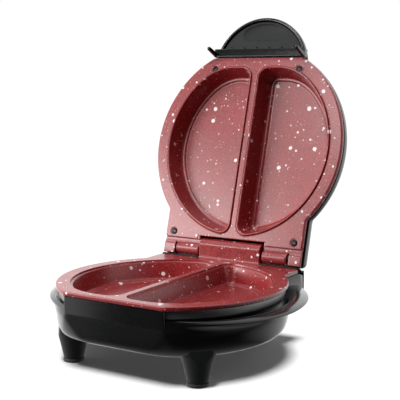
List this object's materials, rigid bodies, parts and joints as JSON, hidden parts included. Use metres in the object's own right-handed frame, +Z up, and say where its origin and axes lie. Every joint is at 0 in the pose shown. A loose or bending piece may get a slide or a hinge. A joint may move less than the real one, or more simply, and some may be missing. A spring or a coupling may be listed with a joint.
{
  "type": "omelette maker",
  "caption": "Round hinged omelette maker with two half-moon pockets in each coated plate, a black wing-rimmed base on four legs, and a grip with a latch clip.",
  "frame": {"origin": "centre of the open object's bounding box at table level", "axes": "+Z up, +X along the lid hinge, -Y towards the user at the front"},
  "size_m": [0.229, 0.264, 0.2967],
  "materials": {
    "coated_casting": "semi-gloss red non-stick coating with white speckles",
    "gloss_black": "glossy black moulding",
    "matt_black": "matt dark grey moulding",
    "rubber": "matt",
    "dark_steel": "dark oxidised",
    "bright_steel": "plain",
    "ceramic": "unglazed",
    "red_lens": "translucent red"
  },
  "bodies": {
    "base": {"lower_housing": "gloss_black", "bottom_cover": "matt_black", "lower_plate": "coated_casting", "leg_1": "gloss_black", "leg_2": "gloss_black", "leg_3": "gloss_black", "leg_4": "gloss_black", "foot_pad_1": "rubber", "foot_pad_2": "rubber", "foot_pad_3": "rubber", "foot_pad_4": "rubber", "bottom_screw_1": "bright_steel", "bottom_screw_2": "bright_steel", "bottom_screw_3": "bright_steel", "bottom_screw_4": "bright_steel", "lower_heating_element": "dark_steel", "lower_reflector": "bright_steel", "lower_thermostat": "ceramic", "thermal_fuse": "bright_steel", "terminal_block": "ceramic", "cord_gland": "rubber", "hinge_pin": "bright_steel", "pin_clip_left": "bright_steel", "pin_clip_right": "bright_steel"},
    "lid": {"upper_housing": "gloss_black", "upper_plate": "coated_casting", "handle": "gloss_black", "handle_liner": "matt_black", "plate_screw_1": "dark_steel", "plate_screw_2": "dark_steel", "plate_screw_3": "dark_steel", "plate_screw_4": "dark_steel", "upper_heating_element": "dark_steel", "upper_reflector": "bright_steel", "upper_thermostat": "ceramic", "power_lens": "red_lens", "ready_lens": "red_lens", "latch_pin_left": "bright_steel", "latch_pin_right": "bright_steel"},
    "latch": {"latch_clip": "gloss_black"}
  },
  "joints": [
    {"name": "lid_hinge", "type": "hinge", "parent": "base", "child": "lid", "pos_m": [0, 0.05875, 0.07327], "axis": [1, 0, 0], "range_deg": [0, 106.12]},
    {"name": "latch_hinge", "type": "hinge", "parent": "lid", "child": "latch", "pos_m": [0, 0.11093, 0.26198], "axis": [1, 0, 0], "range_deg": [-20, 6]}
  ]
}
